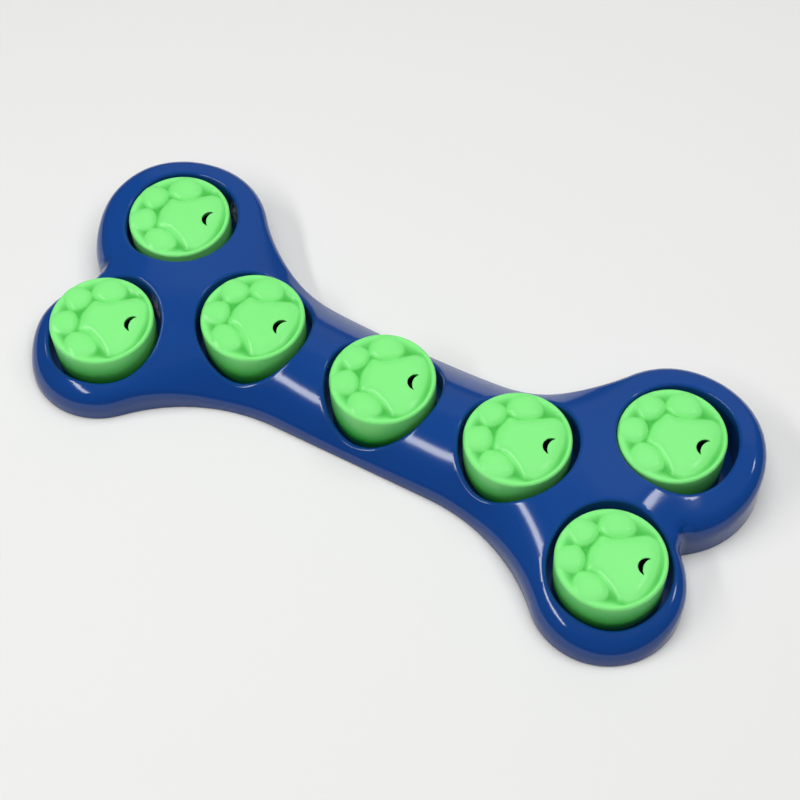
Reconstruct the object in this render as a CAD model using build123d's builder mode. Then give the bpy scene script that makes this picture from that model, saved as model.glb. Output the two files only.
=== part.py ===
"""Dog puzzle feeder: a bone-shaped board with seven wells and a loose, hollow lid in each.

A treat lies on the floor of a well, and the lid over it is lifted or nosed out of the way.
Axes: +X along the bone, +Y across it and +Z up. The origin is on the floor, under the
middle of the board. Sizes are in millimetres.
"""

import math
import os

from build123d import *

# Board outline: two large rear lobes, two smaller front lobes, a notch at each end and a waist.
REAR_LOBE = (154.2, 35.8)
REAR_LOBE_RADIUS = 50.4
FRONT_LOBE = (156.8, -45.4)
FRONT_LOBE_RADIUS = 40.8
NOTCH_RADIUS = 6.0
REAR_FLARE_RADIUS = 80.0
FRONT_FLARE_RADIUS = 108.0
WAIST_HALF_WIDTH = 39.6

# Board heights, wall and the rounding along its top edge.
FOOT_PROUD = 0.8
WALL = 2.6
EDGE_ROUND = 8.0
INNER_BEVEL = 3.2
WAIST_CROWN = 28.0
SHAFT_CROWN = 31.6
CROWN_FORM_FOOT = -10.0

# Wells: one in the middle, one on each side of it along the shaft, and one in each lobe.
WELL_RADIUS = 32.3
WELL_FLOOR = 3.4
CUP_WALL = 2.2
SHAFT_WELL_X = 82.5
LOBE_WELL_X = 155.6
LOBE_WELL_Y = 40.5
MOUTH_BEVEL = 1.2

# Lids: upturned hollow cups with a paw in relief on top.
LID_RADIUS = 29.0
LID_HEIGHT = 30.0
LID_WALL = 2.2
LID_TOP = 2.4
LID_EDGE_BEVEL = 1.0

# Paw relief on a lid, toes towards -X: height, bevel, toes, pad, heel scoop and slot.
RELIEF = 1.9
RELIEF_BEVEL = 1.5
RELIEF_ROOT = 0.5
BIG_TOE = (-2.9, 18.9)
BIG_TOE_SIZE = (18.8, 13.4)
SMALL_TOE = (-17.5, 7.5)
SMALL_TOE_RADIUS = 7.3
PAD_SIDE = (
    (-11.6, 0),
    (-9.7, 5.6),
    (-8.4, 10.4),
    (-2.3, 12.6),
    (6.0, 16.2),
    (13.2, 18.6),
    (19.4, 15.6),
    (21.4, 9.0),
    (20.2, 0),
)
HEEL_SLOPE_TOP = 13.0
HEEL_SLOPE_FOOT = 24.4
HEEL_GROOVE = 0.9
HEEL_SCOOP_X = 19.4
HEEL_SCOOP_SIZE = (19.0, 11.2)
SLOT_TIPS = ((18.6, 7.9), (18.6, -2.9))
SLOT_OUTER = (13.2, 2.5)
SLOT_INNER = (16.6, 2.5)
CUT_CLEARANCE = 1.0

# Underside stiffening and the rubber feet.
RIB = 1.8
RIB_RECESS = 1.6
RIB_TURNS = (-40, 40)
FOOT_RADIUS = 6.0
FOOT_THICKNESS = 1.6
FOOT_PLAY = 0.2
LOBE_FOOT_OFFSET = 15.0
SHAFT_FOOT_Y = 18.0

BOARD_BASE = FOOT_PROUD
CUP_OUTER_RADIUS = WELL_RADIUS + CUP_WALL
HEADROOM = 60.0

# Centre of each well, where its loose lid has settled, and how far the lid has turned.
LIDS = {
    "lid_center": ((0, 0), (0.50, -1.30), 10.9),
    "lid_left_inner": ((-SHAFT_WELL_X, 0), (-0.25, 0.11), -4.9),
    "lid_right_inner": ((SHAFT_WELL_X, 0), (-0.51, -0.65), 3.7),
    "lid_left_rear": ((-LOBE_WELL_X, LOBE_WELL_Y), (-1.32, 0.02), 10.4),
    "lid_left_front": ((-LOBE_WELL_X, -LOBE_WELL_Y), (-0.38, -0.30), 8.8),
    "lid_right_rear": ((LOBE_WELL_X, LOBE_WELL_Y), (-2.70, -0.95), -6.0),
    "lid_right_front": ((LOBE_WELL_X, -LOBE_WELL_Y), (0.22, -0.87), 4.5),
}
WELLS = [well for well, settled, turn in LIDS.values()]
LOBE_WELLS = [well for well in WELLS if well[1] != 0]
SHAFT_WELLS = [well for well in WELLS if well[1] == 0 and well[0] != 0]

# The feet are glued under the floors of the wells, out towards the board's corners and sides.
FEET = {
    "foot_left_rear": (-LOBE_WELL_X - LOBE_FOOT_OFFSET, LOBE_WELL_Y + LOBE_FOOT_OFFSET),
    "foot_left_front": (-LOBE_WELL_X - LOBE_FOOT_OFFSET, -LOBE_WELL_Y - LOBE_FOOT_OFFSET),
    "foot_right_rear": (LOBE_WELL_X + LOBE_FOOT_OFFSET, LOBE_WELL_Y + LOBE_FOOT_OFFSET),
    "foot_right_front": (LOBE_WELL_X + LOBE_FOOT_OFFSET, -LOBE_WELL_Y - LOBE_FOOT_OFFSET),
    "foot_shaft_left_rear": (-SHAFT_WELL_X, SHAFT_FOOT_Y),
    "foot_shaft_left_front": (-SHAFT_WELL_X, -SHAFT_FOOT_Y),
    "foot_shaft_right_rear": (SHAFT_WELL_X, SHAFT_FOOT_Y),
    "foot_shaft_right_front": (SHAFT_WELL_X, -SHAFT_FOOT_Y),
}
BASE_ALIGN = (Align.CENTER, Align.CENTER, Align.MIN)

os.makedirs("parts", exist_ok=True)


def meeting_point(first, first_reach, second, second_reach):
    """Find the point outside the lobes, at the given reaches from the centres of two of them."""
    gap = (second - first).length
    way = (second - first).normalized()
    along = (first_reach**2 - second_reach**2 + gap**2) / (2 * gap)
    return first + way * along + Vector(-way.Y, way.X) * math.sqrt(first_reach**2 - along**2)


def flare_centre(lobe, lobe_radius, flare_radius):
    """Find the centre of the hollow curve that leads from a lobe to the waist on its side."""
    height = WAIST_HALF_WIDTH + flare_radius
    run = math.sqrt((lobe_radius + flare_radius) ** 2 - (height - abs(lobe.Y)) ** 2)
    return Vector(lobe.X - run, math.copysign(height, lobe.Y))


def board_outline(inset):
    """Draw the bone outline, moved inwards by inset, as one closed wire of tangent arcs."""
    rear = Vector(*REAR_LOBE)
    front = Vector(*FRONT_LOBE)
    rear_flare = flare_centre(rear, REAR_LOBE_RADIUS, REAR_FLARE_RADIUS)
    front_flare = flare_centre(front, FRONT_LOBE_RADIUS, FRONT_FLARE_RADIUS)
    notch = meeting_point(
        rear, REAR_LOBE_RADIUS + NOTCH_RADIUS, front, FRONT_LOBE_RADIUS + NOTCH_RADIUS
    )
    touches = (
        rear + (rear_flare - rear).normalized() * (REAR_LOBE_RADIUS - inset),
        rear + (notch - rear).normalized() * (REAR_LOBE_RADIUS - inset),
        front + (notch - front).normalized() * (FRONT_LOBE_RADIUS - inset),
        front + (front_flare - front).normalized() * (FRONT_LOBE_RADIUS - inset),
        Vector(front_flare.X, inset - WAIST_HALF_WIDTH),
    )
    with BuildLine() as outline:
        edge = Line((0, WAIST_HALF_WIDTH - inset), (rear_flare.X, WAIST_HALF_WIDTH - inset))
        for touch in touches:
            edge = TangentArc(edge @ 1, touch, tangent=edge % 1)
        Line(edge @ 1, (0, inset - WAIST_HALF_WIDTH))
        mirror(about=Plane.YZ)
    return outline.line


def even_arch(crown, edge):
    """Give the five poles of a parabolic arch that is the same at the front and the rear."""
    return (edge, crown, (4 * crown - edge) / 3, crown, edge)


# Along the bone: distance from the middle, half span of the arch, and the heights of its five
# poles from the front edge to the rear edge. The flares and heads stay high at the rear, fall
# away to the front and dip towards the notches.
ARCHES = (
    (0.0, 41.0, even_arch(WAIST_CROWN, 3.5)),
    (45.0, 42.0, even_arch(0.5 * (WAIST_CROWN + SHAFT_CROWN), 4.0)),
    (SHAFT_WELL_X, 49.0, (3.0, 31.5, 41.0, 32.5, 11.5)),
    (120.0, 75.0, (7.0, 37.5, 35.5, 34.5, 29.0)),
    (155.0, 92.0, (11.5, 30.5, 41.5, 33.0, 31.0)),
    (185.0, 92.0, (-2.0, 45.0, -6.0, 56.0, 24.0)),
    (207.0, 92.0, (-4.0, 56.0, -22.0, 67.0, 16.0)),
)


def crown_form(drop):
    """Loft the arched top of the board through its arches, lowered by drop."""
    left_half = [(-x, span, poles) for x, span, poles in reversed(ARCHES[1:])]
    with BuildPart() as form:
        for x, span, poles in (*left_half, *ARCHES):
            stations = (-span, -span / 2, 0, span / 2, span)
            corners = ((span, poles[-1]), (span, CROWN_FORM_FOOT), (-span, CROWN_FORM_FOOT))
            with BuildSketch(Plane(origin=(x, 0, -drop), x_dir=(0, 1, 0), z_dir=(1, 0, 0))):
                with BuildLine():
                    Bezier(*zip(stations, poles))
                    Polyline(*corners, (-span, poles[0]))
                make_face()
        loft()
    return form.part


def board_form(inset, rounding):
    """Make the board's solid form, moved inwards by inset, with a rounded or bevelled top edge."""
    with BuildPart() as form:
        with BuildSketch(Plane.XY.offset(BOARD_BASE)):
            with BuildLine():
                add(board_outline(inset))
            make_face()
        extrude(amount=HEADROOM)
        add(crown_form(inset), mode=Mode.INTERSECT)
        top_edge = form.edges().filter_by(lambda e: e.bounding_box().min.Z > BOARD_BASE + 0.5)
        if rounding:
            fillet(top_edge, radius=EDGE_ROUND)
        else:
            chamfer(top_edge, length=INNER_BEVEL)
    return form.part


# The hollow under the board, round its seven cups and between its ribs.
with BuildPart() as hollow:
    add(board_form(WALL, rounding=False))
    with Locations(*WELLS):
        Cylinder(CUP_OUTER_RADIUS, 2 * HEADROOM, mode=Mode.SUBTRACT)
    with BuildSketch(Plane.XY.offset(BOARD_BASE + RIB_RECESS)):
        Rectangle(2 * (REAR_LOBE[0] + REAR_LOBE_RADIUS), RIB)
        for x, y in LOBE_WELLS:
            outward = math.degrees(math.atan2(y, x))
            for turn in RIB_TURNS:
                with Locations(Location((x, y), outward + turn)):
                    Rectangle(2 * REAR_LOBE_RADIUS, RIB, align=(Align.MIN, Align.CENTER))
        for x, y in SHAFT_WELLS:
            with Locations((x, y)):
                Rectangle(RIB, 4 * WAIST_HALF_WIDTH)
    extrude(amount=HEADROOM, mode=Mode.SUBTRACT)

with BuildPart() as tray:
    add(board_form(0, rounding=True))
    with Locations(*[(x, y, WELL_FLOOR) for x, y in WELLS]):
        Cylinder(WELL_RADIUS, HEADROOM, align=BASE_ALIGN, mode=Mode.SUBTRACT)
    well_walls = tray.faces().filter_by(GeomType.CYLINDER)
    well_walls = well_walls.filter_by(lambda face: abs(face.radius - WELL_RADIUS) < 0.01)
    mouths = well_walls.edges().filter_by(lambda e: e.bounding_box().min.Z > WELL_FLOOR + 1)
    chamfer(mouths, length=MOUTH_BEVEL)
    add(hollow.part, mode=Mode.SUBTRACT)
    with Locations(*[(x, y, BOARD_BASE) for x, y in FEET.values()]):
        Cylinder(
            FOOT_RADIUS + FOOT_PLAY,
            FOOT_THICKNESS - FOOT_PROUD,
            align=BASE_ALIGN,
            mode=Mode.SUBTRACT,
        )
tray.part.label = "tray"
export_step(tray.part, "parts/tray.step")

# Relief of a lid: four toes and a pad, drawn just under its flat rim and bevelled on top.
relief_base = Plane.XY.offset(LID_HEIGHT - RELIEF_ROOT)
with BuildPart() as toes:
    with BuildSketch(relief_base):
        for side in (-1, 1):
            with Locations((BIG_TOE[0], side * BIG_TOE[1])):
                SlotOverall(*BIG_TOE_SIZE)
            with Locations((SMALL_TOE[0], side * SMALL_TOE[1])):
                Circle(SMALL_TOE_RADIUS)
    extrude(amount=RELIEF_ROOT + RELIEF)
    chamfer(toes.edges().group_by(Axis.Z)[-1], length=RELIEF_BEVEL)

with BuildPart() as pad:
    with BuildSketch(relief_base):
        with BuildLine():
            Spline(*PAD_SIDE, tangents=((0, 1), (0, -1)))
            mirror(about=Plane.XZ)
        make_face()
    extrude(amount=RELIEF_ROOT + RELIEF)
    chamfer(pad.edges().group_by(Axis.Z)[-1], length=RELIEF_BEVEL)

with BuildPart() as heel_scoop:
    with BuildSketch(Plane.XZ.offset(-LID_RADIUS)):
        with BuildLine():
            Polyline(
                (HEEL_SLOPE_TOP, LID_HEIGHT + RELIEF),
                (HEEL_SLOPE_FOOT, LID_HEIGHT - HEEL_GROOVE),
                (HEEL_SLOPE_FOOT, LID_HEIGHT + 2 * RELIEF),
                (HEEL_SLOPE_TOP, LID_HEIGHT + 2 * RELIEF),
                close=True,
            )
        make_face()
    extrude(amount=2 * LID_RADIUS)
    with BuildSketch(Plane.XY):
        with Locations((HEEL_SCOOP_X, 0)):
            SlotOverall(*HEEL_SCOOP_SIZE, rotation=90)
    extrude(amount=HEADROOM, mode=Mode.INTERSECT)

with BuildPart() as lid_form:
    Cylinder(LID_RADIUS, LID_HEIGHT, align=BASE_ALIGN)
    chamfer(lid_form.edges().group_by(Axis.Z)[-1], length=LID_EDGE_BEVEL)
    add(toes.part)
    add(pad.part)
    add(heel_scoop.part, mode=Mode.SUBTRACT)
    Cylinder(LID_RADIUS - LID_WALL, LID_HEIGHT - LID_TOP, align=BASE_ALIGN, mode=Mode.SUBTRACT)
    with BuildSketch(Plane.XY.offset(LID_HEIGHT - LID_TOP - CUT_CLEARANCE)):
        with BuildLine():
            ThreePointArc(SLOT_TIPS[0], SLOT_OUTER, SLOT_TIPS[1])
            ThreePointArc(SLOT_TIPS[1], SLOT_INNER, SLOT_TIPS[0])
        make_face()
    extrude(amount=HEADROOM, mode=Mode.SUBTRACT)

for name, (well, settled, turn) in LIDS.items():
    with BuildPart() as lid:
        with Locations(Location((well[0] + settled[0], well[1] + settled[1], WELL_FLOOR), turn)):
            add(lid_form.part)
    lid.part.label = name
    export_step(lid.part, f"parts/{name}.step")

for name, (x, y) in FEET.items():
    with BuildPart() as foot:
        with Locations((x, y)):
            Cylinder(FOOT_RADIUS, FOOT_THICKNESS, align=BASE_ALIGN)
    foot.part.label = name
    export_step(foot.part, f"parts/{name}.step")
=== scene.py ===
"""Dresses a bone-shaped dog puzzle feeder: a glossy board, seven lift-out paw lids and rubber feet.

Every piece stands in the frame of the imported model, in metres. Sizes are named in millimetres and
are scaled once, where a mesh is made. Axes: +X along the bone, +Y to its rear edge, +Z up.
"""

from __future__ import annotations

import logging
import math
from dataclasses import dataclass, field
from enum import Enum
from typing import Any, Callable, ClassVar

import bmesh
import bpy
import numpy as np
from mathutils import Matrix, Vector
from mathutils.bvhtree import BVHTree
from mathutils.geometry import delaunay_2d_cdt


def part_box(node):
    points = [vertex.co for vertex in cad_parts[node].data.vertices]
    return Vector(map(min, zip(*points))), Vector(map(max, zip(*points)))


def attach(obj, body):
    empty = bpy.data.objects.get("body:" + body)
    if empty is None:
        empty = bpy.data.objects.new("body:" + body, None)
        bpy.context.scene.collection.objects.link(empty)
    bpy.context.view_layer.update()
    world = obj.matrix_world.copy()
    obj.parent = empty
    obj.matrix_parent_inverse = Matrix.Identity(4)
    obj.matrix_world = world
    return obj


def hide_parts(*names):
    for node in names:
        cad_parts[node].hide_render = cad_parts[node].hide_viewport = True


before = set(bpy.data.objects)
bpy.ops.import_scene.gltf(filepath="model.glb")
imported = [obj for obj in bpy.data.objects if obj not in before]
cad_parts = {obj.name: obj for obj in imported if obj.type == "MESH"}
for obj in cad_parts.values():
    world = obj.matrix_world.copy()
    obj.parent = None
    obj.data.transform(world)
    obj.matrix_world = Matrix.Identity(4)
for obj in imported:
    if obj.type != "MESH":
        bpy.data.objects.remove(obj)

LOG = logging.getLogger("puzzle_feeder")
MM = 0.001
NEAREST_BATCH = 64
SAME_POINT = 1e-7


class Slot(Enum):
    """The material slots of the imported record."""

    TRAY = "tray_plastic"
    LID = "lid_plastic"
    FOOT = "foot_rubber"


# --------------------------------------------------------------------------------------------
# Node trees written as expressions
# --------------------------------------------------------------------------------------------


def operator(operation: str, swapped: bool = False) -> Callable[..., Term]:
    """Make a method that adds one Math node.

    Args:
        operation: The node's operation.
        swapped: Whether the term itself comes last.

    Returns:
        The method, which takes the node's other inputs in order and gives its result.
    """

    def method(self: Term, *others: Term | float) -> Term:
        """Add the node.

        Args:
            others: The node's other inputs.

        Returns:
            The node's result.
        """
        values = (*others, self) if swapped else (self, *others)
        return self.graph.out("ShaderNodeMath", {"operation": operation}, dict(enumerate(values)))

    return method


class Term:
    """A number in a node tree, whose operators add Math nodes to that tree."""

    __add__ = operator("ADD")
    __radd__ = operator("ADD", swapped=True)
    __sub__ = operator("SUBTRACT")
    __rsub__ = operator("SUBTRACT", swapped=True)
    __mul__ = operator("MULTIPLY")
    __rmul__ = operator("MULTIPLY", swapped=True)
    __truediv__ = operator("DIVIDE")
    __pow__ = operator("POWER")
    __abs__ = operator("ABSOLUTE")
    root = operator("SQRT")
    least = operator("MINIMUM")
    most = operator("MAXIMUM")
    soft_most = operator("SMOOTH_MAX")

    def __init__(self, graph: Graph, socket: bpy.types.NodeSocket) -> None:
        """Wrap an output socket.

        Args:
            graph: The graph that owns the socket.
            socket: An output socket with a number on it.
        """
        self.graph = graph
        self.socket = socket

    def unit(self) -> Term:
        """Give self kept between 0 and 1."""
        return self.most(0.0).least(1.0)

    def ease(self) -> Term:
        """Give a smooth step over self's run from 0 to 1."""
        kept = self.unit()
        return kept * kept * (3.0 - 2.0 * kept)


class Graph:
    """A node tree, for a material or for geometry, that is written as expressions."""

    def __init__(self, tree: bpy.types.NodeTree) -> None:
        """Wrap a node tree."""
        self.tree = tree

    def add(
        self,
        kind: str,
        settings: dict[str, Any] | None = None,
        sockets: dict[int | str, Any] | None = None,
    ) -> bpy.types.Node:
        """Add one node.

        Args:
            kind: The node's type.
            settings: Its settings, which are made first.
            sockets: Values, terms or output sockets for its inputs, by name or number.

        Returns:
            The new node.
        """
        node = self.tree.nodes.new(kind)
        for name, value in (settings or {}).items():
            setattr(node, name, value)
        for key, value in (sockets or {}).items():
            if isinstance(value, Term):
                value = value.socket
            if isinstance(value, bpy.types.NodeSocket):
                self.tree.links.new(value, node.inputs[key])
            else:
                node.inputs[key].default_value = value
        return node

    def out(
        self,
        kind: str,
        settings: dict[str, Any] | None = None,
        sockets: dict[int | str, Any] | None = None,
        output: int | str = 0,
    ) -> Term:
        """Add one node and give one of its outputs as a term.

        Args:
            kind: The node's type.
            settings: Its settings.
            sockets: Its inputs.
            output: The output's name or number.

        Returns:
            The output as a term.
        """
        return Term(self, self.add(kind, settings, sockets).outputs[output])

    def split(self, vector: bpy.types.NodeSocket) -> tuple[Term, Term, Term]:
        """Split a vector into its three numbers."""
        node = self.add("ShaderNodeSeparateXYZ", sockets={0: vector})
        return Term(self, node.outputs[0]), Term(self, node.outputs[1]), Term(self, node.outputs[2])

    def join(self, x: Term | float, y: Term | float, z: Term | float) -> Term:
        """Join three numbers into a vector."""
        return self.out("ShaderNodeCombineXYZ", sockets={0: x, 1: y, 2: z})

    def noise(
        self, place: bpy.types.NodeSocket, scale: float, detail: float = 2.0, rough: float = 0.5
    ) -> Term:
        """Add a noise pattern.

        Args:
            place: The coordinates that it follows.
            scale: Its number of waves per metre.
            detail: Its number of finer layers.
            rough: How strong the finer layers are.

        Returns:
            The noise, from 0 to 1.
        """
        sockets = {"Vector": place, "Scale": scale, "Detail": detail, "Roughness": rough}
        return self.out("ShaderNodeTexNoise", {"noise_dimensions": "3D"}, sockets, "Fac")

    def blend(
        self,
        mask: Term | float,
        low: tuple[float, ...] | bpy.types.NodeSocket,
        high: tuple[float, ...] | bpy.types.NodeSocket,
    ) -> bpy.types.NodeSocket:
        """Blend two colours.

        Args:
            mask: The share of the second colour.
            low: The first colour, as linear RGB or as a colour socket.
            high: The second colour.

        Returns:
            The colour socket.
        """
        first, second = ((*c, 1.0) if isinstance(c, tuple) else c for c in (low, high))
        sockets = {0: mask, 6: first, 7: second}
        return self.add("ShaderNodeMix", {"data_type": "RGBA"}, sockets).outputs[2]

    def surface(self, sockets: dict[int | str, Any]) -> None:
        """Add a Principled shader and make it the material's surface.

        Args:
            sockets: The shader's inputs.
        """
        shader = self.add("ShaderNodeBsdfPrincipled", sockets=sockets)
        self.add("ShaderNodeOutputMaterial", sockets={0: shader.outputs[0]})


def empty_graph(owner: bpy.types.Material | bpy.types.World) -> Graph:
    """Give a material or a world an empty node tree, as a graph."""
    owner.use_nodes = True
    owner.node_tree.nodes.clear()
    return Graph(owner.node_tree)


def new_material(name: str) -> tuple[bpy.types.Material, Graph]:
    """Make an empty node material.

    Args:
        name: The material's name.

    Returns:
        The material and the graph that fills it.
    """
    material = bpy.data.materials.new(name)
    return material, empty_graph(material)


def link_object(name: str, data: bpy.types.ID) -> bpy.types.Object:
    """Make an object at the origin and link it to the scene.

    Args:
        name: The object's name.
        data: Its mesh, light or camera.

    Returns:
        The object.
    """
    made = bpy.data.objects.new(name, data)
    bpy.context.scene.collection.objects.link(made)
    return made


# --------------------------------------------------------------------------------------------
# Finishes
# --------------------------------------------------------------------------------------------


@dataclass(frozen=True)
class MouldedPlastic:
    """Glossy injection-moulded plastic with faint flow marks and orange peel.

    Colours are linear RGB, scales are waves per metre and heights are metres. The wall colour is
    painted shade: it is painted fully on standing faces at their foot, and it runs out at the
    wall's top. It is also painted as shade in the creases of a mesh that has the attribute named
    in HOLLOW, which is 0 on its tops.
    """

    HOLLOW: ClassVar[str] = "hollow"

    name: str
    colour: tuple[float, float, float]
    pale: tuple[float, float, float]
    # Painted shade: the darker colour painted on standing faces low down and into creases.
    wall: tuple[float, float, float]
    roughness: float
    roughness_swing: float
    specular: float
    # The heights where the painted shade is full and where it runs out, and how steep a face must
    # be to take it.
    painted_shade_foot: float = 0.0
    painted_shade_top: float = 0.035
    painted_shade_level: float = 0.96
    painted_shade_gain: float = 1.4
    crease_shade_start: float = 0.52
    crease_shade_share: float = 0.75
    flow_start: float = 0.3
    flow_gain: float = 1.6
    scuff_start: float = 0.55
    scuff_gain: float = 5.0
    scuff_share: float = 0.5
    flow_scale: float = 14.0
    peel_scale: float = 420.0
    peel_height: float = 0.00001
    scuff_scale: float = 60.0

    def material(self) -> bpy.types.Material:
        """Make the material.

        Returns:
            A node material on Object coordinates.
        """
        material, graph = new_material(self.name)
        given = graph.add("ShaderNodeTexCoord").outputs
        place = given["Object"]
        flow = graph.noise(place, self.flow_scale, 3.0, 0.55)
        peel = graph.noise(place, self.peel_scale, 1.0, 0.4)
        scuff = graph.noise(place, self.scuff_scale, 4.0, 0.7)
        handled = ((scuff - self.scuff_start) * self.scuff_gain).unit()
        # Painted shade: standing faces low down, and the creases, get the darker wall colour.
        level = graph.split(given["Normal"])[2]
        low = (self.painted_shade_top - graph.split(place)[2]) / (self.painted_shade_top - self.painted_shade_foot)
        steep = ((self.painted_shade_level - level) * self.painted_shade_gain).unit() * low.unit()
        tone = (flow - self.flow_start) * self.flow_gain
        colour = graph.blend(tone, self.colour, self.pale)
        hollow = graph.out("ShaderNodeAttribute", {"attribute_name": self.HOLLOW}, output="Fac")
        crease = ((hollow - self.crease_shade_start) / (1.0 - self.crease_shade_start)).unit()
        colour = graph.blend(steep.most(crease * self.crease_shade_share), colour, self.wall)
        roughness = self.roughness + (flow - 0.5) * self.roughness_swing
        roughness = roughness + handled * (self.scuff_share * self.roughness_swing)
        bump = graph.add(
            "ShaderNodeBump",
            sockets={"Height": peel, "Distance": self.peel_height, "Strength": 1.0},
        )
        graph.surface(
            {
                "Base Color": colour,
                "Roughness": roughness,
                "Specular IOR Level": self.specular,
                "Normal": bump.outputs[0],
            }
        )
        return material


@dataclass(frozen=True)
class SoftRubber:
    """Matt black rubber with a fine grain and dusty patches."""

    name: str
    colour: tuple[float, float, float] = (0.018, 0.018, 0.019)
    dusty: tuple[float, float, float] = (0.05, 0.049, 0.047)
    roughness: float = 0.72
    grain_scale: float = 1800.0
    grain_height: float = 0.00004
    dust_scale: float = 160.0
    dust_start: float = 0.45
    dust_gain: float = 3.0
    dust_swing: float = 0.2

    def material(self) -> bpy.types.Material:
        """Make the material.

        Returns:
            A node material on Object coordinates.
        """
        material, graph = new_material(self.name)
        place = graph.add("ShaderNodeTexCoord").outputs["Object"]
        grain = graph.noise(place, self.grain_scale, 2.0)
        dust = graph.noise(place, self.dust_scale, 3.0)
        tone = (dust - self.dust_start) * self.dust_gain
        bump = graph.add(
            "ShaderNodeBump", sockets={"Height": grain, "Distance": self.grain_height}
        )
        graph.surface(
            {
                "Base Color": graph.blend(tone, self.colour, self.dusty),
                "Roughness": self.roughness + (dust - 0.5) * self.dust_swing,
                "Normal": bump.outputs[0],
            }
        )
        return material


# --------------------------------------------------------------------------------------------
# Mesh helpers
# --------------------------------------------------------------------------------------------


class Skin:
    """A mesh in the making: its points in millimetres, and its faces."""

    def __init__(self) -> None:
        """Start an empty mesh."""
        self.points: list[np.ndarray] = []
        self.faces: list[tuple[int, ...]] = []
        self.count = 0

    def put(self, points: np.ndarray) -> np.ndarray:
        """Add points.

        Args:
            points: An array of rows (x, y, z), of any number of dimensions.

        Returns:
            The points' numbers, in the array's shape.
        """
        flat = points.reshape(-1, 3)
        numbers = np.arange(self.count, self.count + len(flat)).reshape(points.shape[:-1])
        self.points.append(flat)
        self.count += len(flat)
        return numbers

    def ring_strip(self, rows: list[np.ndarray]) -> None:
        """Join closed rings of equally many points with four-sided faces.

        Args:
            rows: The rings' point numbers. The faces look to the left of the way from the
                first ring to the last, for one who goes along the rings.
        """
        for upper, lower in zip(rows, rows[1:]):
            corners = (upper, np.roll(upper, -1), np.roll(lower, -1), lower)
            self.faces.extend(zip(*(corner.tolist() for corner in corners)))

    def sheet(self, numbers: np.ndarray, flat: np.ndarray, loops: list[np.ndarray]) -> None:
        """Fill a flat region with triangles that look up.

        Args:
            numbers: The point numbers of all the points of the region.
            flat: Their (x, y) places.
            loops: Closed loops round the region and its holes, as rows of flat.
        """
        edges = [pair for loop in loops for pair in zip(loop.tolist(), np.roll(loop, -1).tolist())]
        made = delaunay_2d_cdt([Vector(place) for place in flat.tolist()], edges, [], 0, SAME_POINT)
        source = np.array([origin[0] for origin in made[3]])
        triangles = source[np.array(made[2])]
        middles = flat[triangles].mean(axis=1)
        kept = triangles[inside_loops(middles, [flat[loop] for loop in loops])]
        first, second, third = (flat[kept[:, k]] for k in range(3))
        turn = np.cross(second - first, third - first)
        kept = np.where(turn[:, None] > 0, kept, kept[:, ::-1])
        self.faces.extend(map(tuple, numbers[kept].tolist()))

    def mesh(self, name: str) -> bpy.types.Mesh:
        """Make the Blender mesh.

        Args:
            name: The mesh's name.

        Returns:
            The mesh, in metres.
        """
        mesh = bpy.data.meshes.new(name)
        mesh.from_pydata((np.concatenate(self.points) * MM).tolist(), [], self.faces)
        return mesh


def inside_loops(places: np.ndarray, loops: list[np.ndarray]) -> np.ndarray:
    """Tell which places lie inside an odd number of closed loops.

    Args:
        places: Rows of (x, y).
        loops: Closed loops of (x, y) rows.

    Returns:
        True for each place that is inside.
    """
    crossings = np.zeros(len(places), int)
    for loop in loops:
        for (ax, ay), (bx, by) in zip(loop, np.roll(loop, -1, axis=0)):
            spans = (ay > places[:, 1]) != (by > places[:, 1])
            if spans.any():
                across = ax + (places[:, 1] - ay) * (bx - ax) / (by - ay)
                crossings += spans & (places[:, 0] < across)
    return crossings % 2 == 1


def nearest(places: np.ndarray, loops: list[np.ndarray]) -> np.ndarray:
    """Give the distance from each place to the nearest point of some loops.

    Args:
        places: Rows of (x, y).
        loops: Loops of (x, y) rows.

    Returns:
        The distances.
    """
    best = np.full(len(places), np.inf)
    for loop in loops:
        for start in range(0, len(loop), NEAREST_BATCH):
            apart = places[:, None, :] - loop[None, start : start + NEAREST_BATCH, :]
            best = np.minimum(best, (apart**2).sum(axis=2).min(axis=1))
    return np.sqrt(best)


def smooth_step(share: np.ndarray) -> np.ndarray:
    """Give a smooth step over a run from 0 to 1."""
    kept = np.clip(share, 0, 1)
    return kept * kept * (3 - 2 * kept)


def hex_grid(half_x: float, half_y: float, pitch: float) -> np.ndarray:
    """Make an even grid of triangles' corners about the origin.

    Args:
        half_x: Its reach along X.
        half_y: Its reach along Y.
        pitch: The distance between neighbours.

    Returns:
        Rows of (x, y).
    """
    rows = np.arange(-half_y, half_y, pitch * math.sqrt(0.75))
    columns = np.arange(-half_x, half_x, pitch)
    x, y = np.meshgrid(columns, rows)
    x = x + 0.5 * pitch * (np.arange(len(rows)) % 2)[:, None]
    return np.stack([x.ravel(), y.ravel()], axis=1)


def new_object(
    mesh: bpy.types.Mesh, name: str, material: bpy.types.Material, crease: float
) -> bpy.types.Object:
    """Put a mesh into the scene, shaded smooth except over its sharp edges.

    Args:
        mesh: The mesh, in metres and in place.
        name: The object's name.
        material: Its only material.
        crease: The edge angle past which an edge is sharp, in degrees.

    Returns:
        The new object.
    """
    mesh.materials.clear()
    mesh.materials.append(material)
    mesh.shade_smooth()
    mesh.set_sharp_from_angle(angle=math.radians(crease))
    return link_object(name, mesh)


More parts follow.
